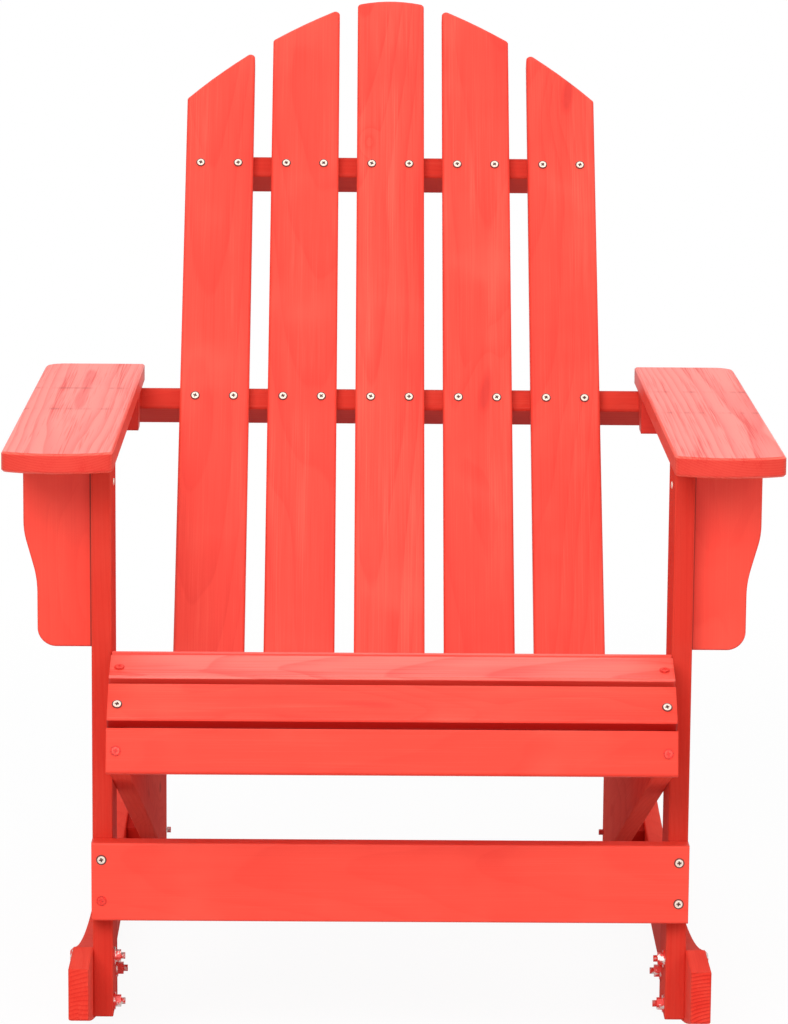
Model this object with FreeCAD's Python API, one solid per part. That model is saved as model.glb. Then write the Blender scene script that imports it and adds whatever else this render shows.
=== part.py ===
import FreeCAD, Part
import os
from math import sin, cos, tan, asin, atan2, hypot, radians, sqrt

os.makedirs("parts", exist_ok=True)

# Rocking garden chair with a curved slat seat and a reclined back of five slats, all of planed fir.
# Millimetres. X runs to the sitter's left and right, Y to the rear, Z up. While the chair is being
# laid out, Y is 0 on the front of the front legs, Z is 0 on the floor. At the end everything is
# shifted so that the origin is the middle of the bounding box in X and Y, on the floor.

V = FreeCAD.Vector
X_AXIS = V(1, 0, 0)
Y_AXIS = V(0, 1, 0)
Z_AXIS = V(0, 0, 1)

# Boards
board = 18.0                 # thickness of every board
ease = 1.8                   # bevel along the edges of the slats and arms
edge_break = 1.0             # bevel on the edges of the other boards

# Side frames
leg_outer = 268.0            # outer face of the front legs, from the middle of the chair
leg_depth = 72.0
leg_bottom = 42.0
leg_inner = leg_outer - board
stringer_inner = leg_inner - board
rocker_outer = leg_outer + board

# Rockers
rest_y = 292.0               # the place where the rockers touch the floor at rest
front_radius = 1122.0
rear_radius = 3582.0
rocker_height = 66.0
nose_y = -67.0
nose_top = 106.5
tail_y = 828.0
tail_round = 26.0

# Seat
slat_width = 40.0
slat_gap = 7.7               # between the slats of the nose
nose_ahead = 1.7             # the second slat lies this much ahead of the first
crest_gap = 13.0             # between the nose and the slope
seat_clear = 0.4             # between the slat ends and the legs
nose_top_tilt = 72.3         # tilts of the slats of the nose, degrees from upright
nose_tilt = 49.2
apron_tilt = 15.0
seat_mid_y = -33.5           # middle of the uppermost slat of the nose
seat_mid_z = 375.6
seat_fall = 20.6             # slope of the seat down to the rear, degrees
rear_slats = 5
seat_back_gap = 3.0          # between the rearmost slat and the back
stringer_width = 92.5
stringer_end_y = 689.0
stringer_end_round = 10.0
stringer_lift = 4.0          # the tails stay this much above the underside of the rockers
spacer_length = 127.0        # the short boards between the tails and the rockers
spacer_drop = 6.0            # below the top of the rockers

# Back
recline = 36.0               # degrees from upright
back_y = 463.0               # a point of the front of the back at arm height
back_z = 539.0
back_slat_width = 68.4
back_pitch = 87.0
back_count = 5
back_crown = 784.0           # from the seat up to the crown, along the slats
back_foot = 62.0             # the slats run on below the seat by this much
arch_inner_radius = 140.0
arch_inner_half = 62.0
arch_outer_radius = 560.0
tip_round = 4.5
bar_height = 23.0            # along the slats
bar_depth = 34.0
top_bar_at = 595.6
arm_bar_at = 329.4
foot_bar_at = -36.0
top_bar_half = 200.0

# Arms
arm_inner = 245.0
arm_width = 97.5
arm_front = -58.0
arm_bulge = 13.0
arm_rear = 505.0
arm_top = 570.0
arm_fall = 0.65              # slope of the arms down to the rear, degrees
arm_front_round = 7.0
arm_rear_round = 20.0
arm_base = arm_top - board

# Blocks under the rear of the arms
block_inner = 248.0
block_width = 44.0
block_front = 436.0
block_bottom = 508.0

# Brackets outside the legs
bracket_outer = 330.0
bracket_flare = 12.0         # the upper part stands out this much over the waist
bracket_waist = bracket_outer - bracket_flare
bracket_bottom = 379.0
bracket_waist_z = 441.0
bracket_shoulder_z = 484.0
toe_share = 0.34             # part of the lower edge taken up by the rounding of the toe
waist_share = 0.28           # parts of the slanting edge taken up by the roundings at its ends
shoulder_share = 0.21

# Board across the front of the legs
front_board_bottom = 137.0
front_board_height = 72.0

# Bolts through the rockers
play = 0.1                   # room round the shanks
bolt_radius = 3.0
bolt_head = 8.0
bolt_dome = 3.4              # height of the heads
bolt_crown = 4.6             # radius of their flat tops
washer_radius = 8.0
washer_thick = 1.5
nut_across = 10.0
nut_thick = 5.0
past_nut = 3.8
past_stringer = 5.0
leg_bolt_inset = 15.0        # from the front and rear edges of the legs
low_bolt_up = 10.5           # above the ends of the legs
mid_bolt_up = 29.0
high_bolt_up = 53.0
tail_bolt_inset = 14.0       # from the ends of the stringers
tail_bolt_pitch = 63.0
tail_bolt_up = 19.0          # above the underside of the rockers
fore_tail_bolt_up = 28.0


far = 2 * tail_y             # well outside the chair, for shapes that cut


def unit(p):
    n = sqrt(p[0] ** 2 + p[1] ** 2)
    return (p[0] / n, p[1] / n)


def lifted(axis, u, v):
    # a flat point (u, v) brought into space, at right angles to the axis
    if axis == "x":
        return V(0, u, v)
    if axis == "y":
        return V(u, 0, v)
    return V(u, v, 0)


def corner(before, here, after):
    # the points where a rounded corner starts, has its middle and ends
    u, v, r = here
    if r == 0:
        return [(u, v)]
    a = unit((before[0] - u, before[1] - v))
    b = unit((after[0] - u, after[1] - v))
    half = sqrt((1 - (a[0] * b[0] + a[1] * b[1])) / 2)       # sine of half the angle
    along = r * sqrt(1 - half ** 2) / half
    middle = unit((a[0] + b[0], a[1] + b[1]))
    out = r / half - r
    start = (u + a[0] * along, v + a[1] * along)
    top = (u + middle[0] * out, v + middle[1] * out)
    end = (u + b[0] * along, v + b[1] * along)
    return [start, top, end]


def plate(axis, low, high, corners):
    # a board cut to an outline; each corner is (u, v, rounding)
    n = len(corners)
    turns = [corner(corners[i - 1], corners[i], corners[(i + 1) % n]) for i in range(n)]
    edges = []
    for i in range(n):
        pts = [lifted(axis, *p) for p in turns[i]]
        nxt = lifted(axis, *turns[(i + 1) % n][0])
        if len(pts) == 3:
            edges.append(Part.Arc(*pts).toShape())
        if pts[-1].distanceToPoint(nxt) > 1e-6:
            edges.append(Part.makeLine(pts[-1], nxt))
    face = Part.Face(Part.Wire(edges))
    away = {"x": X_AXIS, "y": Y_AXIS, "z": Z_AXIS}[axis]
    face.translate(away * low)
    return face.extrude(away * (high - low))


def bar(x0, x1, y0, y1, z0, z1):
    return Part.makeBox(x1 - x0, y1 - y0, z1 - z0, V(x0, y0, z0))


def mirrored(shape):
    return shape.mirror(V(0, 0, 0), X_AXIS)


def eased(shape, along, size):
    # bevel the straight edges that run along one direction
    edges = []
    for e in shape.Edges:
        if isinstance(e.Curve, Part.Line) and abs(e.Curve.Direction.dot(along)) > 0.9999:
            edges.append(e)
    return shape.makeChamfer(size, edges)


def broken(shape, size):
    # bevel the edges of the two broad faces of a board
    faces = sorted(shape.Faces, key=lambda f: -f.Area)[:2]
    edges = faces[0].Edges + faces[1].Edges
    return shape.makeChamfer(size, edges)


def corner_edges(shape, along, places):
    # the edges that run along one direction through any of the given places
    found = []
    for e in shape.Edges:
        a = e.Vertexes[0].Point
        b = e.Vertexes[-1].Point
        for place in places:
            if runs_through(a, b, along, place):
                found.append(e)
    return found


def runs_through(a, b, along, place):
    near = 0.01
    beside = [(q - place) - along * (q - place).dot(along) for q in (a, b)]
    return a.distanceToPoint(b) > 1 and beside[0].Length < near and beside[1].Length < near


def drilled(shape, holes):
    for hole in holes:
        if hole.BoundBox.intersect(shape.BoundBox):
            shape = shape.cut(hole)
    return shape


# Layout of the seat: chain of slats along the nose and the slope
def heading(tilt):
    return (sin(radians(tilt)), cos(radians(tilt)))


def step(p, tilt, length):
    d = heading(tilt)
    return (p[0] + d[0] * length, p[1] + d[1] * length)


def inward(p, tilt, depth):
    return (p[0] + cos(radians(tilt)) * depth, p[1] - sin(radians(tilt)) * depth)


def nose_slats():
    # lower outer edge and tilt of each slat of the nose, from the uppermost one down to the apron
    low = step((seat_mid_y, seat_mid_z), nose_top_tilt, -slat_width / 2)
    high = inward(step(low, nose_tilt, -slat_gap), nose_tilt, -nose_ahead)
    middle_low = step(high, nose_tilt, -slat_width)
    # the inner corner of the apron's top clears the lower edge of the slat above
    ahead = board + seat_clear - slat_gap / tan(radians(nose_tilt - apron_tilt))
    high = inward(step(middle_low, apron_tilt, -slat_gap), apron_tilt, -ahead)
    apron_low = step(high, apron_tilt, -slat_width)
    return [(low, nose_top_tilt), (middle_low, nose_tilt), (apron_low, apron_tilt)]


slope_tilt = 90 + seat_fall
nose = nose_slats()
crest = step(nose[0][0], nose_top_tilt, slat_width)
slope_start = step(crest, (nose_top_tilt + slope_tilt) / 2, crest_gap)
fall = tan(radians(seat_fall))


def seat_top(y):
    return slope_start[1] - (y - slope_start[0]) * fall


def stringer_top(y):
    return seat_top(y) - board / cos(radians(seat_fall))


def stringer_under(y):
    return stringer_top(y) - stringer_width / cos(radians(seat_fall))


# Layout of the back: the front plane of the slats meets the top of the seat at (foot_y, foot_z)
lean = tan(radians(recline))
foot_y = (back_y - lean * (back_z - seat_top(0))) / (1 + lean * fall)
foot_z = seat_top(foot_y)


def on_back(shape):
    # from the flat layout of the back (x, depth, height) to the reclined place
    shape = shape.copy()
    shape.rotate(V(0, 0, 0), X_AXIS, -recline)
    shape.translate(V(0, foot_y, foot_z))
    return shape


def back_point(x, depth, up):
    c = cos(radians(recline))
    s = sin(radians(recline))
    return V(x, foot_y + depth * c + up * s, foot_z - depth * s + up * c)


def back_rear_y(z):
    # the plane of the rear faces of the back slats
    p = back_point(0, board, 0)
    return p.y + (z - p.z) * lean


# Rockers
def under(y):
    r = front_radius if y < rest_y else rear_radius
    return r - sqrt(r ** 2 - (y - rest_y) ** 2)


def over(y):
    r = front_radius if y < rest_y else rear_radius
    return r - sqrt((r - rocker_height) ** 2 - (y - rest_y) ** 2)


def arc(curve, y0, y1):
    ym = (y0 + y1) / 2
    return Part.Arc(V(0, y0, curve(y0)), V(0, ym, curve(ym)), V(0, y1, curve(y1))).toShape()


def rocker():
    reach = (front_radius - rocker_height) ** 2 - (front_radius - nose_top) ** 2
    level_end = rest_y - sqrt(reach)
    p = [V(0, nose_y, under(nose_y)), V(0, nose_y, nose_top), V(0, level_end, nose_top)]
    tail_low = V(0, tail_y, under(tail_y))
    tail_high = V(0, tail_y, over(tail_y))
    edges = [arc(under, nose_y, rest_y), arc(under, rest_y, tail_y)]
    edges.append(Part.makeLine(tail_low, tail_high))
    edges += [arc(over, rest_y, tail_y), arc(over, level_end, rest_y)]
    edges += [Part.makeLine(p[1], p[2]), Part.makeLine(p[0], p[1])]
    face = Part.Face(Part.Wire(Part.__sortEdges__(edges)))
    face.translate(X_AXIS * leg_outer)
    solid = face.extrude(X_AXIS * board)
    solid = solid.makeFillet(tail_round, corner_edges(solid, X_AXIS, [tail_high]))
    return broken(solid, edge_break)


# Cutting plane of the undersides of the arms
def above_arm_base():
    block = bar(-far, far, -far, far, arm_base, arm_base + far)
    block.rotate(V(0, 0, arm_base), X_AXIS, -arm_fall)
    return block


def front_leg():
    leg = bar(leg_inner, leg_outer, 0, leg_depth, leg_bottom, arm_base + board)
    leg = eased(leg, Z_AXIS, edge_break)
    return leg.cut(above_arm_base())


def stringer():
    # the nose carries three slats, the top edge the others, the tail lies inside the rocker
    faces = [(inward(p, t, board), t) for p, t in reversed(nose)]
    underside = ((0, stringer_under(0)), slope_tilt)
    slope = (inward(slope_start, slope_tilt, board), slope_tilt)
    pts = [crossing(underside, faces[0]) + (0,)]
    for here, nxt in zip(faces, faces[1:] + [slope]):
        pts.append(crossing(here, nxt) + (0,))
    pts.append((stringer_end_y, stringer_top(stringer_end_y), stringer_end_round))
    pts.append((stringer_end_y, stringer_under(stringer_end_y), 0))
    solid = plate("x", stringer_inner, leg_inner, pts)
    return broken(solid.cut(below_tail()), edge_break)


def crossing(a, b):
    # where two lines, each a point and a tilt, meet
    (ay, az), ta = a
    (by, bz), tb = b
    da = heading(ta)
    db = heading(tb)
    det = da[0] * db[1] - da[1] * db[0]
    k = ((by - ay) * db[1] - (bz - az) * db[0]) / det
    return (ay + da[0] * k, az + da[1] * k)


def below_tail():
    # what lies below the line of the rocker's underside, lifted a little
    low = V(0, rest_y, -far)
    high = V(0, tail_y, -far)
    edges = [arc(lambda y: under(y) + stringer_lift, rest_y, tail_y)]
    start = V(0, rest_y, under(rest_y) + stringer_lift)
    end = V(0, tail_y, under(tail_y) + stringer_lift)
    edges += [Part.makeLine(start, low), Part.makeLine(low, high), Part.makeLine(high, end)]
    face = Part.Face(Part.Wire(Part.__sortEdges__(edges)))
    face.translate(X_AXIS * -far)
    return face.extrude(X_AXIS * 2 * far)


def spacer():
    # short board between the tail of a stringer and its rocker
    front = stringer_end_y - spacer_length
    pts = [(front, 0, 0), (front, over(front) - spacer_drop, 0)]
    pts += [(stringer_end_y, over(stringer_end_y) - spacer_drop, 0), (stringer_end_y, 0, 0)]
    solid = plate("x", leg_inner, leg_outer, pts)
    return solid.cut(below_tail())


# Seat slats
def seat_slat(low, tilt):
    # a slat whose lower outer edge is at the point low
    half = leg_inner - seat_clear
    slat = bar(-half, half, 0, board, 0, slat_width)
    slat = eased(slat, X_AXIS, ease)
    slat.rotate(V(0, 0, 0), X_AXIS, -tilt)
    slat.translate(V(0, low[0], low[1]))
    return slat


def rear_seat_starts():
    # the lower outer edges of the slats on the slope, spaced evenly up to the back
    lead = board * tan(radians(max(0.0, recline - seat_fall)))
    run = (foot_y - slope_start[0]) / cos(radians(seat_fall)) - lead - seat_back_gap
    pitch = (run - slat_width) / (rear_slats - 1)
    return [step(slope_start, slope_tilt, i * pitch) for i in range(rear_slats)]


# Back slats
def arch_template():
    # everything under the common arch, in the flat layout
    alpha = asin(arch_inner_half / arch_inner_radius)
    drop = arch_inner_radius * (1 - cos(alpha))
    reach = back_count * back_pitch / 2

    def outer(x):
        s = sin(alpha) + (x - arch_inner_half) / arch_outer_radius
        return back_crown - drop - arch_outer_radius * (cos(alpha) - sqrt(1 - s ** 2))

    def side(k):
        mid = (arch_inner_half + reach) / 2
        a = V(k * arch_inner_half, 0, outer(arch_inner_half))
        b = V(k * mid, 0, outer(mid))
        c = V(k * reach, 0, outer(reach))
        return Part.Arc(a, b, c).toShape()

    left = V(-arch_inner_half, 0, back_crown - drop)
    right = V(arch_inner_half, 0, back_crown - drop)
    edges = [Part.Arc(left, V(0, 0, back_crown), right).toShape(), side(1), side(-1)]
    base = -2 * back_foot
    for k in (-1, 1):
        edges.append(Part.makeLine(V(k * reach, 0, outer(reach)), V(k * reach, 0, base)))
    edges.append(Part.makeLine(V(-reach, 0, base), V(reach, 0, base)))
    face = Part.Face(Part.Wire(Part.__sortEdges__(edges)))
    face.translate(Y_AXIS * -board)
    return face.extrude(Y_AXIS * 3 * board)


def back_slat(index, template):
    middle = (index - (back_count - 1) / 2) * back_pitch
    half = back_slat_width / 2
    slat = bar(middle - half, middle + half, 0, board, -back_foot, back_crown + board)
    slat = slat.common(template).Solids[0]
    through = [e for e in slat.Edges if runs_through_thickness(e)]
    slat = slat.makeFillet(tip_round, [e for e in through if e.CenterOfMass.z > 0])
    return on_back(broken(slat, ease))


def runs_through_thickness(edge):
    a = edge.Vertexes[0].Point
    b = edge.Vertexes[-1].Point
    return abs((b - a).y) > 0.99 * a.distanceToPoint(b)


def back_bar(at, half):
    piece = bar(-half, half, board, board + bar_depth, at - bar_height / 2, at + bar_height / 2)
    return on_back(eased(piece, X_AXIS, ease))


# Arms, blocks and brackets
def arm():
    outer = arm_inner + arm_width
    a = V(arm_inner, arm_front, arm_base)
    b = V(outer, arm_front, arm_base)
    c = V(outer, arm_rear, arm_base)
    d = V(arm_inner, arm_rear, arm_base)
    bulge = V((arm_inner + outer) / 2, arm_front - arm_bulge, arm_base)
    edges = [Part.Arc(a, bulge, b).toShape()]
    edges += [Part.makeLine(b, c), Part.makeLine(c, d), Part.makeLine(d, a)]
    solid = Part.Face(Part.Wire(edges)).extrude(Z_AXIS * board)
    solid = solid.makeFillet(arm_front_round, corner_edges(solid, Z_AXIS, [a, b]))
    solid = solid.makeFillet(arm_rear_round, corner_edges(solid, Z_AXIS, [c]))
    solid = broken(solid, ease)
    solid.rotate(V(0, 0, arm_base), X_AXIS, -arm_fall)
    return solid


def arm_block():
    top = arm_base + board
    pts = [(block_front, block_bottom, 0), (back_rear_y(block_bottom), block_bottom, 0)]
    pts += [(back_rear_y(top), top, 0), (block_front, top, 0)]
    solid = plate("x", block_inner, block_inner + block_width, pts)
    return solid.cut(above_arm_base())


def bracket():
    front = (leg_depth - board) / 2
    top = arm_base + board
    flare = bracket_outer - bracket_waist
    rise = bracket_shoulder_z - bracket_waist_z
    slant = hypot(flare, rise)
    turn = tan(atan2(flare, rise) / 2)
    toe_round = toe_share * (bracket_waist - leg_outer)
    pts = [(leg_outer, bracket_bottom, 0), (bracket_waist, bracket_bottom, toe_round)]
    pts.append((bracket_waist, bracket_waist_z, waist_share * slant / turn))
    pts.append((bracket_outer, bracket_shoulder_z, shoulder_share * slant / turn))
    pts += [(bracket_outer, top, 0), (leg_outer, top, 0)]
    solid = broken(plate("y", front, front + board, pts), edge_break)
    return solid.cut(above_arm_base())


def front_board():
    z0 = front_board_bottom
    piece = bar(-leg_outer, leg_outer, -board, 0, z0, z0 + front_board_height)
    return eased(piece, X_AXIS, edge_break)


# Bolts with domed heads outside the rockers; inside the legs they end in a washer and a nut
def bolt_shank(y, z, inner, past):
    length = rocker_outer - inner + past
    return Part.makeCylinder(bolt_radius, length, V(rocker_outer, y, z), V(-1, 0, 0))


def bolt_dome_head(y, z):
    return Part.makeCone(bolt_head, bolt_crown, bolt_dome, V(rocker_outer, y, z), X_AXIS)


def washer_and_nut(y, z, inner):
    disc = Part.makeCylinder(washer_radius, washer_thick, V(inner, y, z), V(-1, 0, 0))
    x = inner - washer_thick - nut_thick
    radius = nut_across / sqrt(3)
    pts = [(y + radius * cos(radians(60 * k)), z + radius * sin(radians(60 * k)), 0) for k in range(6)]
    return [disc, plate("x", x, x + nut_thick, pts)]


def leg_bolt(y, z):
    past = washer_thick + nut_thick + past_nut
    parts = [bolt_shank(y, z, leg_inner, past)] + washer_and_nut(y, z, leg_inner)
    return bolt_dome_head(y, z).multiFuse(parts).removeSplitter()


def tail_bolt(y, z):
    return bolt_dome_head(y, z).fuse(bolt_shank(y, z, stringer_inner, past_stringer)).removeSplitter()


def bolt_hole(y, z, inner):
    start = V(rocker_outer + board, y, z)
    return Part.makeCylinder(bolt_radius + play, rocker_outer - inner + 2 * board, start, V(-1, 0, 0))


def leg_bolt_places():
    rear = leg_depth - leg_bolt_inset
    places = [(leg_bolt_inset, leg_bottom + up) for up in (high_bolt_up, low_bolt_up)]
    return places + [(rear, leg_bottom + mid_bolt_up)]


def tail_bolt_places():
    rear = stringer_end_y - tail_bolt_inset
    fore = rear - tail_bolt_pitch
    return [(fore, under(fore) + fore_tail_bolt_up), (rear, under(rear) + tail_bolt_up)]


# All pieces by name
pieces = {}
holes = []


def add(name, shapes):
    pieces[name] = shapes if isinstance(shapes, list) else [shapes]


def add_pair(name, shape):
    add("right_" + name, shape)
    add("left_" + name, mirrored(shape))


def build_wood():
    add_pair("rocker", rocker())
    add_pair("front_leg", front_leg())
    add_pair("seat_stringer", stringer())
    add_pair("tail_spacer", spacer())
    add_pair("arm", arm())
    add_pair("arm_bracket", bracket())
    add_pair("arm_block", arm_block())
    add("lower_front_board", front_board())
    names = ["seat_nose_top_slat", "seat_nose_slat", "front_apron_slat"]
    for name, (low, tilt) in zip(names, nose):
        add(name, seat_slat(low, tilt))
    for i, start in enumerate(rear_seat_starts()):
        add("seat_slat_%d" % (i + 1), seat_slat(start, slope_tilt))
    template = arch_template()
    for i in range(back_count):
        add("back_slat_%d" % (i + 1), back_slat(i, template))
    add("top_back_bar", back_bar(top_bar_at, top_bar_half))
    add("arm_height_bar", back_bar(arm_bar_at, block_inner + block_width))
    add("foot_back_bar", back_bar(foot_bar_at, stringer_inner))


def add_bolts(name, spots, make, inner):
    right = [make(y, z) for y, z in spots]
    add(name, right + [mirrored(s) for s in right])
    bores = [bolt_hole(y, z, inner) for y, z in spots]
    holes.extend(bores + [mirrored(s) for s in bores])


build_wood()
wooden = list(pieces)
add_bolts("leg_bolts", leg_bolt_places(), leg_bolt, leg_inner)
add_bolts("tail_bolts", tail_bolt_places(), tail_bolt, stringer_inner)
for name in wooden:
    pieces[name] = [drilled(s, holes) for s in pieces[name]]

everything = Part.makeCompound([s for group in pieces.values() for s in group])
box = everything.BoundBox
shift = V(-(box.XMin + box.XMax) / 2, -(box.YMin + box.YMax) / 2, -box.ZMin)
for name, group in pieces.items():
    shape = group[0] if len(group) == 1 else Part.makeCompound(group)
    shape.translate(shift)
    shape.exportStep("parts/%s.step" % name)
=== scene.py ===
from math import pi, radians

import bmesh
import bpy
from mathutils import Matrix, Vector


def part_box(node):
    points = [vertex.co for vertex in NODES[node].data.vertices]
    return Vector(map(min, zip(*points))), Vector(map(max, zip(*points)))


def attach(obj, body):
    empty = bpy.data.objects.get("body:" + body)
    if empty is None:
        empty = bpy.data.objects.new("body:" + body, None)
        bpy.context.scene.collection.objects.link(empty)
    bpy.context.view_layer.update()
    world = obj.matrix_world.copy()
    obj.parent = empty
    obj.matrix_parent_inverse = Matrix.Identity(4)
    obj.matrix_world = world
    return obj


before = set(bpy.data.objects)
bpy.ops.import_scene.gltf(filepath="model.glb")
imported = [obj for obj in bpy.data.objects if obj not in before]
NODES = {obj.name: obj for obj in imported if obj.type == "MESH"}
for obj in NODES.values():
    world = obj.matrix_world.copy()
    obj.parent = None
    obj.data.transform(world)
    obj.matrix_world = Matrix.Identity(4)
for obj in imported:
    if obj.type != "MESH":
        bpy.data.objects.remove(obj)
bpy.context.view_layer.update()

# Looks of a red painted rocking garden chair of planed fir boards. Metres, Z up, front towards -Y,
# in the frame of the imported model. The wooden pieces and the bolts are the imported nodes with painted
# and plated finishes; the small wood screws are modelled here and ride on the chair.

MM = 0.001
ACROSS = Vector((1, 0, 0))
REARWARD = Vector((0, 1, 0))
UPWARD = Vector((0, 0, 1))

# Camera: a little above the arms, far away, as solved from the photograph
IMAGE_WIDTH = 788               # pixels
FOCAL_PIXELS = 4300.0
SENSOR_WIDTH = 36.0             # millimetres
FARTHEST_SEEN = 200.0
LOOK_DOWN = radians(10.49)
LOOK_ASIDE = radians(0.524)
ROLL = radians(0.461)
CAMERA_AHEAD = 3.750            # in front of the front legs
CAMERA_HEIGHT = 1.203
CAMERA_ASIDE = -0.0335

# Studio: name, watts, width, place and aim of each lamp
LAMPS = (("key_softbox", 134.0, 2.4, (-1.1, -3.6, 2.8), (0, -0.1, 0.5)),
         ("fill_softbox", 46.0, 2.4, (2.6, -2.5, 2.8), (0, 0, 0.5)),
         ("low_softbox", 18.0, 2.0, (0.3, -3.9, 0.9), (0, 0, 0.4)),
         ("top_softbox", 36.0, 2.6, (0, 0.9, 3.4), (0, 0, 0.4)))
SKY = 0.33                      # what the room gives the chair; the camera sees it plain white
FLOOR_SIZE = 160.0
FLOOR_GREY = 0.60               # what the floor throws back at the chair
FLOOR_CHALK = 0.95              # the floor under the shadow, as the camera sees it
FLOOR_GLOW = 0.94               # share of the floor's white that shadows leave alone, by the chair
SHADOW_FROM = 0.75              # the floor turns plain white between these distances from the chair
SHADOW_TO = 1.9

# Colours, linear
RED = (0.86, 0.052, 0.029)
RED_DEEP = (0.72, 0.022, 0.012)
RED_PALE = (0.93, 0.118, 0.074)
KNOT_RED = (0.46, 0.014, 0.009)
# painted shade for the narrow faces of boards and for the rings round painted-over heads
SIDE_SHADE_RED = (0.44, 0.013, 0.008)
# painted shade: the line where a bracket meets its leg, and the countersinks and cross recesses of the
# screws
PAINTED_SHADE_RED = (0.045, 0.012, 0.009)
ZINC = (0.78, 0.76, 0.72)
SCREW_BRIGHT = (0.86, 0.74, 0.64)
SCREW_DULL = (0.62, 0.48, 0.40)


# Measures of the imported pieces

def middle(node):
    low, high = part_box(node)
    return (low + high) / 2


def broad_face(node, towards):
    # the direction of the largest flat side that looks towards a given way
    sums = {}
    for poly in NODES[node].data.polygons:
        key = tuple(round(c, 2) for c in poly.normal)
        total = sums.setdefault(key, [0.0, Vector()])
        total[0] += poly.area
        total[1] += poly.normal * poly.area
    facing = [v for v in sums.values() if v[1].dot(towards) > 0]
    return max(facing, key=lambda v: v[0])[1].normalized()


def surface_point(node, normal, start):
    # start, moved along the normal onto the outermost plane of the piece
    reach = max((v.co - start).dot(normal) for v in NODES[node].data.vertices)
    return start + normal * reach


UP_BACK = (middle("top_back_bar") - middle("arm_height_bar")).normalized()
BACK_OUT = Vector((0, -UP_BACK.z, UP_BACK.y))
SLOPE = (middle("seat_slat_5") - middle("seat_slat_1")).normalized()
LEG_LOW, LEG_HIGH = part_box("right_front_leg")
SEAT_SLATS = ["seat_slat_%d" % k for k in range(1, 6)]


# Node tree helpers

class Tree:
    """A node tree that is filled from left to right."""

    def __init__(self, tree):
        self.tree = tree
        self.nodes = tree.nodes
        self.count = 0

    def node(self, kind, **settings):
        made = self.nodes.new(kind)
        made.location = (self.count * 180.0, 0.0)
        self.count += 1
        for key, value in settings.items():
            setattr(made, key, value)
        return made

    def link(self, source, target):
        self.tree.links.new(source, target)

    def feed(self, made, inputs):
        # a socket is linked, anything else is set as the input's value
        for key, value in inputs.items():
            if isinstance(value, bpy.types.NodeSocket):
                self.link(value, made.inputs[key])
            else:
                made.inputs[key].default_value = value

    def math(self, operation, a, b=0.0, clamp=False):
        made = self.node("ShaderNodeMath", operation=operation, use_clamp=clamp)
        self.feed(made, {0: a, 1: b})
        return made.outputs[0]

    def vector(self, operation, a, b=(0, 0, 0)):
        made = self.node("ShaderNodeVectorMath", operation=operation)
        self.feed(made, {0: a, 1: b})
        return made.outputs["Value" if operation in ("DOT_PRODUCT", "LENGTH") else "Vector"]

    def scaled(self, vector, scale):
        made = self.node("ShaderNodeVectorMath", operation="SCALE")
        self.feed(made, {0: vector, "Scale": scale})
        return made.outputs["Vector"]

    def parts(self, vector):
        made = self.node("ShaderNodeSeparateXYZ")
        self.link(vector, made.inputs[0])
        return made.outputs

    def ramp(self, value, low, high, to_low=0.0, to_high=1.0):
        made = self.node("ShaderNodeMapRange", interpolation_type="SMOOTHSTEP")
        self.feed(made, {"Value": value, "From Min": low, "From Max": high,
                         "To Min": to_low, "To Max": to_high})
        return made.outputs["Result"]

    def mix(self, factor, a, b):
        made = self.node("ShaderNodeMix", data_type="RGBA")
        colours = {key: value if isinstance(value, bpy.types.NodeSocket) else (*value[:3], 1.0)
                   for key, value in ((6, a), (7, b))}
        self.feed(made, {0: factor, **colours})
        return made.outputs[2]

    def noise(self, vector, scale, detail=2.0, rough=0.5):
        made = self.node("ShaderNodeTexNoise")
        self.feed(made, {"Vector": vector, "Scale": scale, "Detail": detail, "Roughness": rough})
        return made.outputs


def group(name, inputs, outputs):
    # a shader node group; inputs are (name, socket type, value), outputs are (name, socket type)
    tree = bpy.data.node_groups.new(name, "ShaderNodeTree")
    for label, kind, value in inputs:
        socket = tree.interface.new_socket(name=label, in_out="INPUT", socket_type=kind)
        socket.default_value = value
    for label, kind in outputs:
        tree.interface.new_socket(name=label, in_out="OUTPUT", socket_type=kind)
    t = Tree(tree)
    entry = t.node("NodeGroupInput")
    leave = t.node("NodeGroupOutput")
    return tree, t, entry.outputs, leave.inputs


def use(t, tree, inputs):
    made = t.node("ShaderNodeGroup", node_tree=tree)
    t.feed(made, inputs)
    return made.outputs


def new_material(name):
    material = bpy.data.materials.new(name)
    material.use_nodes = True
    t = Tree(material.node_tree)
    shader = next(n for n in t.nodes if n.type == "BSDF_PRINCIPLED")
    return material, t, shader


def blend(a, b, share):
    return [x + (y - x) * share for x, y in zip(a, b)]


# Fir under paint. Scales of the patterns are per metre along, across and through a board.

FLOAT, VECTOR, COLOR = "NodeSocketFloat", "NodeSocketVector", "NodeSocketColor"
KNOT_CELLS = (4.2, 15.0, 15.0)
BENDS = (2.4, 9.0, 9.0)
FINE_FIBRES = (9.0, 900.0, 900.0)
SOFT_FIBRES = (3.0, 60.0, 60.0)
TORN_FIBRES = (2.0, 85.0, 0.0)
PATCHES = 7.0
RING = 0.0045                   # width of a year's growth
KNOT_SWELL = 0.009              # how far the rings give way round a knot
EYE_SIZE = 0.006
EYE_SHAPE = (0.62, 1.0, 0.0)    # an eye is longer along the grain
MARK_HALF = 0.009               # half width of a planer mark, fading from MARK_CORE
MARK_CORE = 0.002
WANDER = 0.024                  # how far the rings stray from round
TAPER = 0.035                   # how far the pith drifts through a board, along its length
NO_MARKS = (9.0, 9.0, 0.0)
NO_EYE = (9.0, 9.0, 9.0)

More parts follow.
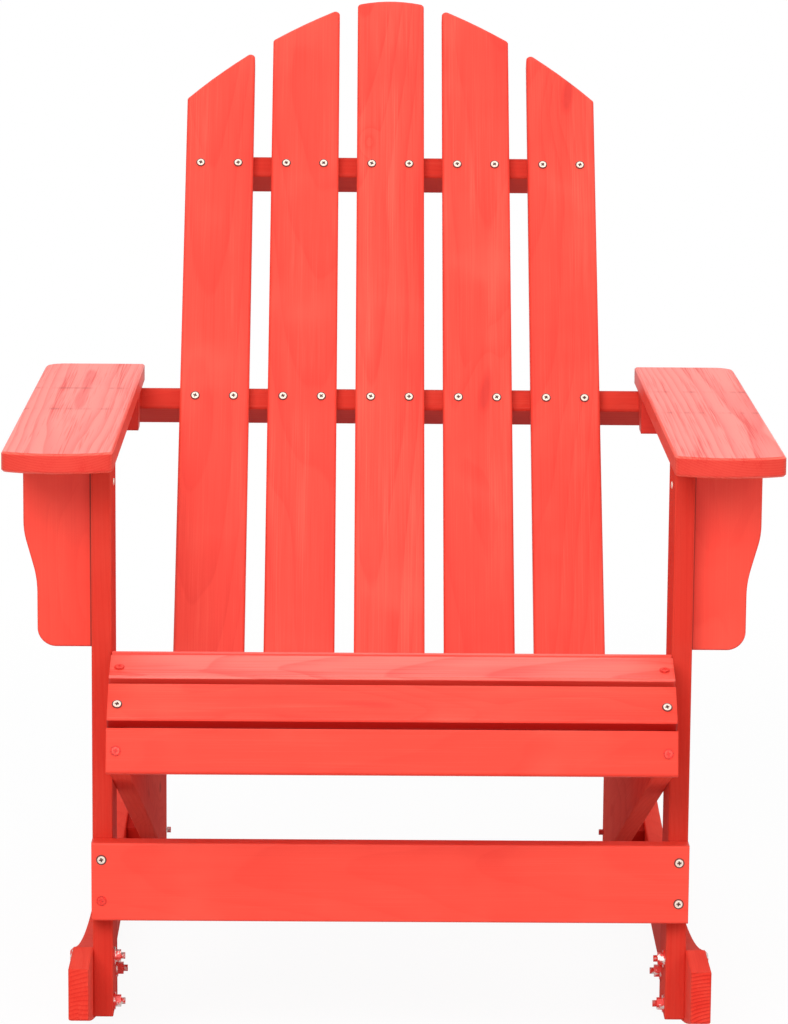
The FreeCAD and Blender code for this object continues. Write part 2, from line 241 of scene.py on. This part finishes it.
# Film of paint
ROUNDING = 2.2 * MM             # radius that the film gives an edge
RELIEF = 0.25 * MM              # height of the grain in the film
RELIEF_STRENGTH = 0.28
TOP_COAT_ROUGHNESS = 0.36
DULLEST = 0.85
PATCH_SHARE = 0.30
END_SHARE = 0.55                # how deep the red is on sawn ends
WEAR_SHARE = 0.40               # how pale worn corners are
KNOT_ALWAYS = 0.12              # knots show this much more than the grain
SINK_SHARE = 0.55               # how much of the top coat sinks into late wood and knots
# a line of painted shade where a bracket meets its leg
SHADE_LINE_WIDTH = 3.4 * MM
SHADE_LINE_SHARE = 0.85


def board_space_group():
    # turns object coordinates into those of a board: X along the grain, Y across, Z through it
    tree, t, i, o = group("board_space",
                          [("Position", VECTOR, (0, 0, 0)), ("Centre", VECTOR, (0, 0, 0)),
                           ("Along", VECTOR, (1, 0, 0)), ("Through", VECTOR, (0, 0, 1))],
                          [("Vector", VECTOR)])
    away = t.vector("SUBTRACT", i["Position"], i["Centre"])
    across = t.vector("CROSS_PRODUCT", i["Through"], i["Along"])
    made = t.node("ShaderNodeCombineXYZ")
    t.feed(made, {0: t.vector("DOT_PRODUCT", away, i["Along"]),
                  1: t.vector("DOT_PRODUCT", away, across),
                  2: t.vector("DOT_PRODUCT", away, i["Through"])})
    t.link(made.outputs[0], o["Vector"])
    return tree


def fir_group():
    # growth rings, fibres and knots of a fir board, cut from a log with its pith at Pith
    tree, t, i, o = group("fir_wood",
                          [("Vector", VECTOR, (0, 0, 0)), ("Pith", VECTOR, (0, 0.03, 0.06)),
                           ("Ring", FLOAT, RING), ("Knots", FLOAT, 0.7), ("Wander", FLOAT, WANDER),
                           ("Taper", FLOAT, TAPER), ("Marks", VECTOR, NO_MARKS),
                           ("Eye At", VECTOR, NO_EYE), ("Eye Size", FLOAT, EYE_SIZE)],
                          [("Latewood", FLOAT), ("Fibre", FLOAT), ("Knot", FLOAT), ("Patch", FLOAT)])
    v = i["Vector"]
    along = t.parts(v)[0]

    # knots at the middles of stretched cells; Knots is the share of the cells that have none
    stretched = t.vector("MULTIPLY", v, KNOT_CELLS)
    stray = t.scaled(t.noise(stretched, 1.6, 1.0)["Color"], 0.5)
    cells = t.node("ShaderNodeTexVoronoi", feature="F1")
    t.feed(cells, {"Vector": t.vector("ADD", stretched, stray), "Scale": 1.0})
    chance = t.node("ShaderNodeSeparateColor")
    t.link(cells.outputs["Color"], chance.inputs[0])
    here = t.math("GREATER_THAN", chance.outputs[0], i["Knots"])
    distance = cells.outputs["Distance"]
    knot = t.math("MULTIPLY", t.ramp(distance, 0.16, 0.07), here)
    around = t.math("MULTIPLY", t.ramp(distance, 0.62, 0.10), here)

    # one eye at a given place, seen only in the way the rings flow round it
    eye = t.vector("MULTIPLY", t.vector("SUBTRACT", v, i["Eye At"]), EYE_SHAPE)
    eye = t.math("DIVIDE", t.vector("LENGTH", eye), i["Eye Size"])
    around = t.math("MAXIMUM", around, t.ramp(eye, 2.6, 0.2))

    # rings round a pith that strays and drifts
    bend = t.noise(t.vector("MULTIPLY", v, BENDS), 1.0)["Color"]
    shift = t.scaled(t.vector("SUBTRACT", bend, (0.5, 0.5, 0.5)), i["Wander"])
    drift = t.node("ShaderNodeCombineXYZ")
    t.feed(drift, {2: t.math("MULTIPLY", along, i["Taper"])})
    moved = t.vector("ADD", t.vector("SUBTRACT", v, i["Pith"]), shift)
    moved = t.vector("ADD", moved, drift.outputs[0])
    radius = t.vector("LENGTH", t.vector("MULTIPLY", moved, (0.0, 1.0, 1.0)))
    radius = t.math("ADD", radius, t.math("MULTIPLY", around, KNOT_SWELL))
    phase = t.math("FRACT", t.math("DIVIDE", radius, i["Ring"]))
    late = t.math("MULTIPLY", t.math("POWER", phase, 3.0), t.ramp(phase, 1.0, 0.93))

    # planer marks at two places along the board
    marks = t.parts(i["Marks"])
    near = t.math("MINIMUM", t.math("ABSOLUTE", t.math("SUBTRACT", along, marks[0])),
                  t.math("ABSOLUTE", t.math("SUBTRACT", along, marks[1])))
    torn = t.noise(t.vector("MULTIPLY", v, TORN_FIBRES), 1.0, 3.0, 0.7)[0]
    mark = t.math("MULTIPLY", t.ramp(near, MARK_HALF, MARK_CORE), t.ramp(torn, 0.42, 0.62))
    knot = t.math("MAXIMUM", knot, t.math("MULTIPLY", mark, marks[2]))

    fine = t.noise(t.vector("MULTIPLY", v, FINE_FIBRES), 1.0, 2.0, 0.6)[0]
    soft = t.noise(t.vector("MULTIPLY", v, SOFT_FIBRES), 1.0, 3.0, 0.6)[0]
    t.link(late, o["Latewood"])
    t.link(t.math("ADD", t.math("MULTIPLY", fine, 0.5), t.math("MULTIPLY", soft, 0.5)), o["Fibre"])
    t.link(knot, o["Knot"])
    t.link(t.noise(v, PATCHES, 3.0, 0.6)[0], o["Patch"])
    return tree


def paint_group():
    # a thin coat of paint over wood: the grain shows through and telegraphs into the film
    tree, t, i, o = group("thin_paint",
                          [("Paint", COLOR, (*RED, 1)), ("Deep", COLOR, (*RED_DEEP, 1)),
                           ("Pale", COLOR, (*RED_PALE, 1)), ("Knot Colour", COLOR, (*KNOT_RED, 1)),
                           ("Latewood", FLOAT, 0.0), ("Fibre", FLOAT, 0.5), ("Knot", FLOAT, 0.0),
                           ("Patch", FLOAT, 0.5), ("End", FLOAT, 0.0), ("Edge", FLOAT, 0.0),
                           ("Show", FLOAT, 0.35), ("Dullness", FLOAT, 0.40), ("Gloss", FLOAT, 0.2),
                           ("End Rings", FLOAT, 0.1), ("Side", FLOAT, 0.0),
                           ("Side Colour", COLOR, (*SIDE_SHADE_RED, 1))],
                          [("Colour", COLOR), ("Roughness", FLOAT), ("Height", FLOAT), ("Coat", FLOAT)])
    late, fibre, knot, end = i["Latewood"], i["Fibre"], i["Knot"], i["End"]
    bare_end = t.math("MULTIPLY", end, i["End Rings"])
    show = t.math("ADD", i["Show"], bare_end, clamp=True)
    streak = t.math("MULTIPLY", t.ramp(fibre, 0.50, 0.32), show)
    pale_fibre = t.math("MULTIPLY", t.ramp(fibre, 0.50, 0.68), show)
    pale_patch = t.math("MULTIPLY", t.ramp(i["Patch"], 0.50, 0.75), PATCH_SHARE)
    deep_patch = t.math("MULTIPLY", t.ramp(i["Patch"], 0.46, 0.28), PATCH_SHARE)
    colour = i["Paint"]
    for share, tint in ((t.math("MULTIPLY", late, show), "Deep"),
                        (streak, "Deep"),
                        (pale_fibre, "Pale"),
                        (pale_patch, "Pale"),
                        (deep_patch, "Deep"),
                        (t.math("MULTIPLY", knot, t.math("ADD", show, KNOT_ALWAYS)), "Knot Colour"),
                        (t.math("MULTIPLY", end, END_SHARE), "Deep"),
                        (t.math("MULTIPLY", bare_end, late), "Knot Colour"),
                        # painted shade on the narrow faces
                        (i["Side"], "Side Colour"),
                        (t.math("MULTIPLY", i["Edge"], WEAR_SHARE), "Pale")):
        colour = t.mix(share, colour, i[tint])
    rough = t.math("ADD", i["Dullness"], t.math("MULTIPLY", fibre, 0.16))
    rough = t.math("ADD", rough, t.math("MULTIPLY", end, 0.18))
    sunk = t.math("MULTIPLY", t.math("ADD", late, knot), SINK_SHARE)
    sunk = t.math("ADD", t.math("ADD", t.math("MULTIPLY", sunk, show), streak), end)
    film = t.math("SUBTRACT", 1.0, sunk, clamp=True)
    height = t.math("ADD", t.math("MULTIPLY", late, 0.55), t.math("MULTIPLY", fibre, 0.5))
    height = t.math("SUBTRACT", height, t.math("MULTIPLY", knot, 0.4))
    t.link(colour, o["Colour"])
    t.link(t.math("MINIMUM", rough, DULLEST), o["Roughness"])
    t.link(height, o["Height"])
    t.link(t.math("MULTIPLY", film, i["Gloss"]), o["Coat"])
    return tree


def corner_group():
    # how near a point lies to an outer edge, broken up as hand sanding and handling leave it
    tree, t, i, o = group("worn_corner",
                          [("Vector", VECTOR, (0, 0, 0)), ("Rounded", VECTOR, (0, 0, 1)),
                           ("Normal", VECTOR, (0, 0, 1)), ("Grain", FLOAT, 38.0)],
                          [("Edge", FLOAT)])
    turned = t.math("SUBTRACT", 1.0, t.vector("DOT_PRODUCT", i["Rounded"], i["Normal"]))
    blotch = t.noise(i["Vector"], i["Grain"], 3.0, 0.6)[0]
    t.link(t.math("MULTIPLY", t.ramp(turned, 0.03, 0.30), t.ramp(blotch, 0.35, 0.65)), o["Edge"])
    return tree


BOARD_SPACE = board_space_group()
FIR = fir_group()
THIN_PAINT = paint_group()
WORN_CORNER = corner_group()


def painted_board(name, centre, along, through, pith, ring=RING, show=0.35, knots=0.72, wander=WANDER,
                  taper=TAPER, tone=0.0, thin=0.0, side=0.12, gloss=0.12, dull=0.42, shine=0.3,
                  end_rings=0.05, marks=NO_MARKS, eye=NO_EYE, seam=None):
    # red paint over one fir board: tone darkens it, thin lets the wood lighten it, side is a painted
    # shade on its narrow faces, and gloss is the weight of its top coat; marks lie across the grain, an
    # eye is a knot that the rings flow round, and where the board meets a neighbour at a given X it
    # gets a line of painted shade
    material, t, shader = new_material("red_paint_" + name)
    place = t.node("ShaderNodeTexCoord").outputs
    geometry = t.node("ShaderNodeNewGeometry")
    rounded = t.node("ShaderNodeBevel", samples=4)
    rounded.inputs["Radius"].default_value = ROUNDING
    board = use(t, BOARD_SPACE, {"Position": place["Object"], "Centre": centre,
                                 "Along": along, "Through": through})["Vector"]
    wood = use(t, FIR, {"Vector": board, "Pith": pith, "Ring": ring, "Knots": knots,
                        "Wander": wander, "Taper": taper, "Marks": marks, "Eye At": eye})
    corner = use(t, WORN_CORNER, {"Vector": place["Object"], "Rounded": rounded.outputs[0],
                                  "Normal": geometry.outputs["True Normal"]})
    lengthwise = t.math("ABSOLUTE", t.vector("DOT_PRODUCT", place["Normal"], along))
    broad = t.math("ABSOLUTE", t.vector("DOT_PRODUCT", place["Normal"], through))
    narrow = t.ramp(broad, 0.6, 0.4)
    paint, deep, pale = ((*[c * (1 - tone) for c in tint], 1)
                         for tint in (blend(RED, RED_PALE, thin), RED_DEEP, RED_PALE))
    film = use(t, THIN_PAINT, {"Paint": paint, "Deep": deep, "Pale": pale,
                               "Latewood": wood["Latewood"], "Fibre": wood["Fibre"],
                               "Knot": wood["Knot"], "Patch": wood["Patch"],
                               "End": t.ramp(lengthwise, 0.55, 0.85), "Edge": corner["Edge"],
                               "Show": show, "Gloss": gloss, "Dullness": dull,
                               "End Rings": end_rings, "Side": t.math("MULTIPLY", narrow, side)})
    bump = t.node("ShaderNodeBump")
    t.feed(bump, {"Height": film["Height"], "Normal": rounded.outputs[0],
                  "Strength": RELIEF_STRENGTH, "Distance": RELIEF})
    colour = film["Colour"]
    # painted shade: a dark line in the corner where the bracket meets the leg
    if seam is not None:
        away = t.math("SUBTRACT", t.vector("DOT_PRODUCT", place["Object"], ACROSS), seam)
        shade_line = t.ramp(t.math("ABSOLUTE", away), SHADE_LINE_WIDTH, 0.5 * SHADE_LINE_WIDTH, 0.0, SHADE_LINE_SHARE)
        colour = t.mix(shade_line, colour, PAINTED_SHADE_RED)
    t.feed(shader, {"Base Color": colour, "Roughness": film["Roughness"], "Normal": bump.outputs[0],
                    "Coat Weight": t.math("MULTIPLY", film["Coat"], t.math("SUBTRACT", 1.0, narrow)),
                    "Coat Roughness": TOP_COAT_ROUGHNESS, "Specular IOR Level": shine})
    return material


# Finishes of the steel

HALF_PITCH = 0.5 * MM           # of the threads on the bolts
THREAD_DEPTH = 0.4 * MM
THREAD_STARTS = LEG_LOW.x - 6.5 * MM    # the threads lie nearer the middle of the chair than this


def plated_steel():
    # bright zinc plate, mostly under red overspray, with a fine thread on the ends of the bolts
    material, t, shader = new_material("zinc_plated_steel")
    place = t.node("ShaderNodeTexCoord").outputs["Object"]
    cloud = t.noise(place, 260.0, 3.0, 0.6)[0]
    spray = t.ramp(t.noise(place, 140.0, 3.0, 0.6)[0], 0.62, 0.50)
    colour = t.mix(t.ramp(cloud, 0.3, 0.75), ZINC, tuple(c * 0.72 for c in ZINC))
    side = t.math("ABSOLUTE", t.parts(place)[0])
    thread = t.math("MULTIPLY", t.math("PINGPONG", side, HALF_PITCH), 1 / HALF_PITCH)
    bump = t.node("ShaderNodeBump")
    t.feed(bump, {"Height": t.math("MULTIPLY", thread, t.math("LESS_THAN", side, THREAD_STARTS)),
                  "Strength": 0.9, "Distance": THREAD_DEPTH})
    t.feed(shader, {"Base Color": t.mix(spray, colour, RED_DEEP),
                    "Roughness": t.ramp(cloud, 0.2, 0.8, 0.34, 0.52),
                    "Metallic": t.math("SUBTRACT", 1.0, spray), "Normal": bump.outputs[0]})
    return material


def speckled(name, grain, first, second, dull, spread=0.2, metal=0.0):
    # a small part's finish: two tones and two dullnesses that change from speck to speck
    material, t, shader = new_material(name)
    cloud = t.noise(t.node("ShaderNodeTexCoord").outputs["Object"], grain, 2.0, 0.6)[0]
    t.feed(shader, {"Base Color": t.mix(t.ramp(cloud, 0.5 - spread, 0.5 + spread), first, second),
                    "Roughness": t.ramp(cloud, 0.2, 0.8, *dull), "Metallic": metal})
    return material


def screw_steel():
    # nickel bright screw heads, a little dulled
    return speckled("bright_screw_steel", 900.0, SCREW_BRIGHT, SCREW_DULL, (0.42, 0.60), metal=0.6)


def painted_steel():
    # heads that were painted over with the chair
    return speckled("painted_screw", 500.0, RED, RED_DEEP, (0.40, 0.60), spread=0.15)


def countersink_shade(name, dark):
    # painted shade in the countersink round a sunk head and in its cross recess
    return speckled(name, 700.0, dark, tuple(c * 2.2 for c in dark), (0.5, 0.8))


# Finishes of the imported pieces

EYE = (0.255, 0.0235)                   # knot figure of the middle slat, above the screws
ARM_MARKS = (0.115, -0.020, 0.55)       # two planer marks across an arm, and their strength
ROCKER_PITH = (-0.050, 0.0)             # low in the board, so the sawn ends show curved rings
# the back bars, seen behind the slats: their tone is painted shade from the slats over them
BARS_IN_SHADE = {"tone": 0.28, "gloss": 0.0, "shine": 0.1}
SHADED = {"gloss": 0.0, "dull": 0.7, "shine": 0.05}


def dress(node, along, towards, seed, **look):
    # each board comes from its own place in the log; marks, eyes and a pith are given from its middle
    through = broad_face(node, towards)
    away = 0.03 + 0.022 * ((seed * 7) % 5)
    aside = 0.012 * ((seed * 11) % 7 - 3)
    start = 0.37 * seed
    if "marks" in look:
        first, second, strength = look["marks"]
        look["marks"] = (first - start, second - start, strength)
    if "eye" in look:
        look["eye"] = (look["eye"][0] - start, look["eye"][1], 0.0)
    if "pith" in look:
        aside, away = look.pop("pith")
        away -= start * TAPER
    centre = middle(node) + along * start
    finish(node, painted_board(node, centre, along, through, (0.0, aside, away), **look))


def finish(node, material):
    NODES[node].data.materials.clear()
    NODES[node].data.materials.append(material)


def dress_wood():
    for k in (1, 2, 4, 5):
        dress("back_slat_%d" % k, UP_BACK, BACK_OUT, k, ring=0.0060, show=0.42, knots=0.93)
    dress("back_slat_3", UP_BACK, BACK_OUT, 3, ring=0.0060, show=0.55, knots=0.97, thin=0.12, eye=EYE)
    for k, bar in enumerate(("top_back_bar", "arm_height_bar", "foot_back_bar")):
        dress(bar, ACROSS, BACK_OUT, 6 + k, **BARS_IN_SHADE)
    for k, slat in enumerate(SEAT_SLATS):
        dress(slat, ACROSS, UPWARD, 9 + k, show=0.45, gloss=0.5)
    # the side of the nose slats is painted shade on their lower edges, in the cracks between them
    dress("seat_nose_top_slat", ACROSS, UPWARD, 14, show=0.65, thin=0.4, gloss=0.6, side=0.65,
          wander=0.012)
    dress("seat_nose_slat", ACROSS, UPWARD, 15, show=0.35, side=1.0)
    dress("front_apron_slat", ACROSS, -REARWARD, 16, show=0.20, knots=0.97, gloss=0.0, shine=0.2,
          tone=0.04)
    dress("lower_front_board", ACROSS, -REARWARD, 17, show=0.20, knots=0.97, gloss=0.05, thin=0.12)
    # each bracket gets a line of painted shade where it meets the leg
    for k, (side, seam) in enumerate((("left", -LEG_HIGH.x), ("right", LEG_HIGH.x))):
        # side on the arms and legs is painted shade on their narrow faces
        dress(side + "_arm", REARWARD, UPWARD, 20 + k, ring=0.0023, show=0.85, knots=1.0,
              wander=0.0045, taper=0.003, thin=1.0, gloss=0.66, side=0.35, marks=ARM_MARKS)
        dress(side + "_arm_block", REARWARD, UPWARD, 22 + k, tone=0.15, gloss=0.0)
        dress(side + "_arm_bracket", UPWARD, -REARWARD, 24 + k, show=0.2, thin=0.1, gloss=0.0, seam=seam)
        dress(side + "_front_leg", UPWARD, ACROSS, 26 + k, show=0.3, tone=0.17, thin=0.1, gloss=0.0,
              side=0.4, dull=0.7, shine=0.12)
        # thin on the stringers is painted light: paler paint standing in for light under the seat
        dress(side + "_seat_stringer", SLOPE, ACROSS, 28 + k, show=0.45, thin=0.2, **SHADED)
        # the spacers' tone and side are painted shade, deep between stringer and rocker
        dress(side + "_tail_spacer", REARWARD, ACROSS, 30 + k, tone=0.6, side=0.9, **SHADED)
        dress(side + "_rocker", REARWARD, ACROSS, 32 + k, ring=0.0035, show=0.35, thin=0.25, gloss=0.0,
              dull=0.65, shine=0.15, end_rings=0.4 + 0.5 * k, pith=ROCKER_PITH)


def dress_bolts():
    steel = plated_steel()
    for node in ("leg_bolts", "tail_bolts"):
        finish(node, steel)


# Screws

HEAD_RADIUS = 3.7 * MM          # countersunk heads
HEAD_THICK = 2.6 * MM
HEAD_STANDS = 0.60 * MM
HEAD_EDGE = 0.35 * MM
RIM_RADIUS = 4.6 * MM           # rim of the countersink, flattened to RIM_FLAT of its round section
RIM_FLAT = 0.35
SLOT_LENGTH = 3.8 * MM          # cross recess
SLOT_WIDTH = 1.4 * MM
SLOT_DEPTH = 0.45 * MM
CUT_ABOVE = 0.4 * MM            # how far the cutter stands out of the head
PAN_RADIUS = 3.4 * MM           # raised heads
PAN_HEIGHT = 2.2 * MM
PAN_ROUND = 1.3 * MM
ROUND_SIDES = 32
SMOOTH_BELOW = radians(35)
LEVEL = 0.9                     # a face is a top when its normal points up by more than this

SCREW_SPREAD = 19.0 * MM        # either side of a back slat's middle
SCREW_DROP = 6.8 * MM           # below the middle of the bar
NOSE_SCREW_DROP = 4.0 * MM      # below the middle of a nose slat
BOARD_SCREW_LOW = 18.5 * MM     # above the lower edge of the front board
BOARD_SCREW_HIGH = 15.5 * MM    # below its upper edge
LEG_SCREW_DROP = 24.0 * MM      # below the top of a leg


def only(obj):
    bpy.ops.object.select_all(action="DESELECT")
    obj.select_set(True)
    bpy.context.view_layer.objects.active = obj


def apply_all(obj):
    only(obj)
    bpy.ops.object.transform_apply(location=True, rotation=True, scale=True)


def cut_with(obj, cutter):
    # take the shape of the cutter out of the piece
    only(obj)
    made = obj.modifiers.new("cut", "BOOLEAN")
    made.object = cutter
    made.operation = "DIFFERENCE"
    made.solver = "EXACT"
    bpy.ops.object.modifier_apply(modifier=made.name)
    bpy.data.objects.remove(cutter)


def countersunk_head(steel, shade_finish):
    # a sunk head with a cross recess and the rim of the countersink round it, axis along Z; the second
    # finish is painted shade in the recess and on the rim
    bpy.ops.object.select_all(action="DESELECT")
    bpy.ops.mesh.primitive_cone_add(vertices=ROUND_SIDES, radius1=HEAD_RADIUS * 0.5,
                                    radius2=HEAD_RADIUS, depth=HEAD_THICK,
                                    location=(0, 0, HEAD_STANDS - HEAD_THICK / 2))
    head = bpy.context.object
    head.data.materials.append(steel)
    head.data.materials.append(shade_finish)
    bpy.ops.object.mode_set(mode="EDIT")
    bpy.ops.mesh.select_all(action="DESELECT")
    mesh = bmesh.from_edit_mesh(head.data)
    for face in mesh.faces:
        if face.normal.z > LEVEL:
            face.select = True
    bmesh.update_edit_mesh(head.data)
    bpy.ops.mesh.bevel(offset=HEAD_EDGE, segments=3, profile=0.6)
    bpy.ops.object.mode_set(mode="OBJECT")
    for turn in (0.0, pi / 2):
        bpy.ops.mesh.primitive_cube_add(size=1.0, rotation=(0, 0, turn),
                                        location=(0, 0, HEAD_STANDS + (CUT_ABOVE - SLOT_DEPTH) / 2))
        bar = bpy.context.object
        bar.scale = (SLOT_LENGTH, SLOT_WIDTH, SLOT_DEPTH + CUT_ABOVE)
        apply_all(bar)
        bar.data.materials.append(steel)
        bar.data.materials.append(shade_finish)
        for face in bar.data.polygons:
            face.material_index = 1
        cut_with(head, bar)
    bpy.ops.mesh.primitive_torus_add(major_segments=ROUND_SIDES, minor_segments=8,
                                     major_radius=(RIM_RADIUS + HEAD_RADIUS) / 2,
                                     minor_radius=(RIM_RADIUS - HEAD_RADIUS) / 2, location=(0, 0, 0))
    rim = bpy.context.object
    rim.scale = (1, 1, RIM_FLAT)
    apply_all(rim)
    rim.data.materials.append(shade_finish)
    only(head)
    rim.select_set(True)
    bpy.ops.object.join()
    bpy.ops.object.shade_smooth_by_angle(angle=SMOOTH_BELOW)
    head.name = "screw_pattern"
    return head


def pan_head(steel):
    # a raised rounded head, axis along Z
    bpy.ops.object.select_all(action="DESELECT")
    bpy.ops.mesh.primitive_cylinder_add(vertices=ROUND_SIDES, radius=PAN_RADIUS, depth=PAN_HEIGHT,
                                        location=(0, 0, PAN_HEIGHT / 2))
    head = bpy.context.object
    head.data.materials.append(steel)
    bpy.ops.object.mode_set(mode="EDIT")
    bpy.ops.mesh.select_all(action="DESELECT")
    mesh = bmesh.from_edit_mesh(head.data)
    for face in mesh.faces:
        # clearing the last side frees its edge of the top: the round misses it and leaves a fin
        face.select = face.normal.z > LEVEL
    bmesh.update_edit_mesh(head.data)
    bpy.ops.mesh.bevel(offset=PAN_ROUND, segments=5, profile=0.5)
    bpy.ops.object.mode_set(mode="OBJECT")
    bpy.ops.object.shade_smooth_by_angle(angle=SMOOTH_BELOW)
    head.name = "raised_pattern"
    return head


def drive(pattern, name, spots):
    # copies of one screw at each (place, outward direction, turn), joined into one piece
    copies = []
    for place, out, turn in spots:
        piece = pattern.copy()
        piece.data = pattern.data.copy()
        bpy.context.scene.collection.objects.link(piece)
        facing = UPWARD.rotation_difference(out).to_matrix().to_4x4()
        piece.matrix_world = Matrix.Translation(place) @ facing @ Matrix.Rotation(turn, 4, "Z")
        copies.append(piece)
    bpy.ops.object.select_all(action="DESELECT")
    for piece in copies:
        piece.select_set(True)
    bpy.context.view_layer.objects.active = copies[0]
    bpy.ops.object.transform_apply(location=True, rotation=True, scale=True)
    if len(copies) > 1:
        bpy.ops.object.join()
    joined = bpy.context.view_layer.objects.active
    joined.name = name
    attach(joined, "root")


def back_spots(bar):
    # two screws through each back slat, a little below the middle of the bar behind it
    spots = []
    for k in range(1, 6):
        slat = "back_slat_%d" % k
        for side in (-1, 1):
            start = middle(bar) - UP_BACK * SCREW_DROP
            start.x = middle(slat).x + side * SCREW_SPREAD
            spots.append((surface_point(slat, BACK_OUT, start), BACK_OUT, 0.7 * k + side))
    return spots


def seat_spots(slats, towards, drop=0.0):
    # a screw through each slat into each stringer
    spots = []
    for k, slat in enumerate(slats):
        out = broad_face(slat, towards)
        for side in ("left", "right"):
            start = middle(slat) - out.cross(ACROSS) * drop
            start.x = middle(side + "_seat_stringer").x
            spots.append((surface_point(slat, out, start), out, 0.5 * k + start.x))
    return spots


def front_board_spots():
    # two screws into each leg, the lower one first
    low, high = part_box("lower_front_board")
    spots = []
    for side in ("left", "right"):
        for z in (low.z + BOARD_SCREW_LOW, high.z - BOARD_SCREW_HIGH):
            spots.append((Vector((middle(side + "_front_leg").x, low.y, z)), -REARWARD, 9.0 * z))
    return spots


def leg_spots():
    # a raised head on the inner face of each leg, into the bracket
    spots = []
    for side, sign in (("left", 1), ("right", -1)):
        low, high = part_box(side + "_front_leg")
        face = high.x if sign > 0 else low.x
        place = Vector((face, middle(side + "_arm_bracket").y, high.z - LEG_SCREW_DROP))
        spots.append((place, ACROSS * sign, 0.0))
    return spots


def drive_screws():
    # the nose top slat, the apron and the left lower screw of the front board are painted over
    steel = screw_steel()
    # the countersinks and cross recesses are painted shade
    sunk = countersunk_head(steel, countersink_shade("countersink_shade", PAINTED_SHADE_RED))
    covered = countersunk_head(painted_steel(), countersink_shade("filled_countersink_shade", SIDE_SHADE_RED))
    raised = pan_head(steel)
    board = front_board_spots()
    drive(sunk, "back_screws_top", back_spots("top_back_bar"))
    drive(sunk, "back_screws_arm_height", back_spots("arm_height_bar"))
    drive(sunk, "seat_screws", seat_spots(SEAT_SLATS, UPWARD)
          + seat_spots(["seat_nose_slat"], UPWARD, NOSE_SCREW_DROP))
    drive(sunk, "front_board_screws", board[1:])
    drive(covered, "painted_seat_screws", seat_spots(["seat_nose_top_slat"], UPWARD, NOSE_SCREW_DROP)
          + seat_spots(["front_apron_slat"], -REARWARD))
    drive(covered, "painted_front_board_screw", board[:1])
    drive(raised, "bracket_screws", leg_spots())
    for pattern in (sunk, covered, raised):
        bpy.data.objects.remove(pattern)


# Studio

def seen_by_camera(t):
    # 1 where the camera looks, straight, in a reflection or through glass
    path = t.node("ShaderNodeLightPath").outputs
    direct = t.math("MAXIMUM", path["Is Camera Ray"], path["Is Transmission Ray"])
    return t.math("MAXIMUM", direct, path["Is Glossy Ray"])


def show_mixed(t, kind, share, first, second):
    # the tree's output is the first shader, with a share of the second
    mixed = t.node("ShaderNodeMixShader")
    t.feed(mixed, {0: share, 1: first.outputs[0], 2: second.outputs[0]})
    t.link(mixed.outputs[0], t.node(kind).inputs[0])


def white_floor():
    # a wide floor that stays white to the camera and keeps a soft shadow by the chair
    bpy.ops.object.select_all(action="DESELECT")
    bpy.ops.mesh.primitive_plane_add(size=FLOOR_SIZE, location=(0, 0, 0))
    floor = bpy.context.object
    floor.name = "studio_floor"
    material = bpy.data.materials.new("white_floor")
    material.use_nodes = True
    t = Tree(material.node_tree)
    t.nodes.clear()
    seen = seen_by_camera(t)
    chalk = t.node("ShaderNodeBsdfDiffuse")
    t.link(t.mix(seen, (FLOOR_GREY,) * 3, (FLOOR_CHALK,) * 3), chalk.inputs["Color"])
    glow = t.node("ShaderNodeEmission")
    away = t.vector("LENGTH", t.node("ShaderNodeTexCoord").outputs["Object"])
    near = t.ramp(away, SHADOW_FROM, SHADOW_TO, FLOOR_GLOW, 1.0)
    show_mixed(t, "ShaderNodeOutputMaterial", t.math("MULTIPLY", seen, near), chalk, glow)
    floor.data.materials.append(material)


def sky():
    world = bpy.context.scene.world or bpy.data.worlds.new("studio_world")
    bpy.context.scene.world = world
    world.use_nodes = True
    t = Tree(world.node_tree)
    t.nodes.clear()
    soft, white = t.node("ShaderNodeBackground"), t.node("ShaderNodeBackground")
    for light, strength in ((soft, SKY), (white, 1.0)):
        t.feed(light, {"Color": (1, 1, 1, 1), "Strength": strength})
    show_mixed(t, "ShaderNodeOutputWorld", seen_by_camera(t), soft, white)


def lamp(name, power, size, place, target):
    data = bpy.data.lights.new(name, "AREA")
    data.shape = "DISK"
    data.size = size
    data.energy = power
    made = bpy.data.objects.new(name, data)
    bpy.context.scene.collection.objects.link(made)
    made.location = place
    made.rotation_euler = (Vector(target) - Vector(place)).to_track_quat("-Z", "Y").to_euler()


def camera():
    data = bpy.data.cameras.new("photo_camera")
    made = bpy.data.objects.new("photo_camera", data)
    bpy.context.scene.collection.objects.link(made)
    data.sensor_fit = "HORIZONTAL"
    data.sensor_width = SENSOR_WIDTH
    data.lens = SENSOR_WIDTH * FOCAL_PIXELS / IMAGE_WIDTH
    data.clip_end = FARTHEST_SEEN
    place = Vector((CAMERA_ASIDE, LEG_LOW.y - CAMERA_AHEAD, CAMERA_HEIGHT))
    turn = Matrix.Rotation(-LOOK_ASIDE, 4, "Z") @ Matrix.Rotation(pi / 2 - LOOK_DOWN, 4, "X")
    turn = turn @ Matrix.Rotation(ROLL, 4, "Z")
    made.matrix_world = Matrix.Translation(place) @ turn
    bpy.context.scene.camera = made


dress_wood()
dress_bolts()
drive_screws()
white_floor()
sky()
for row in LAMPS:
    lamp(*row)
camera()
bpy.context.scene.view_settings.view_transform = "Standard"
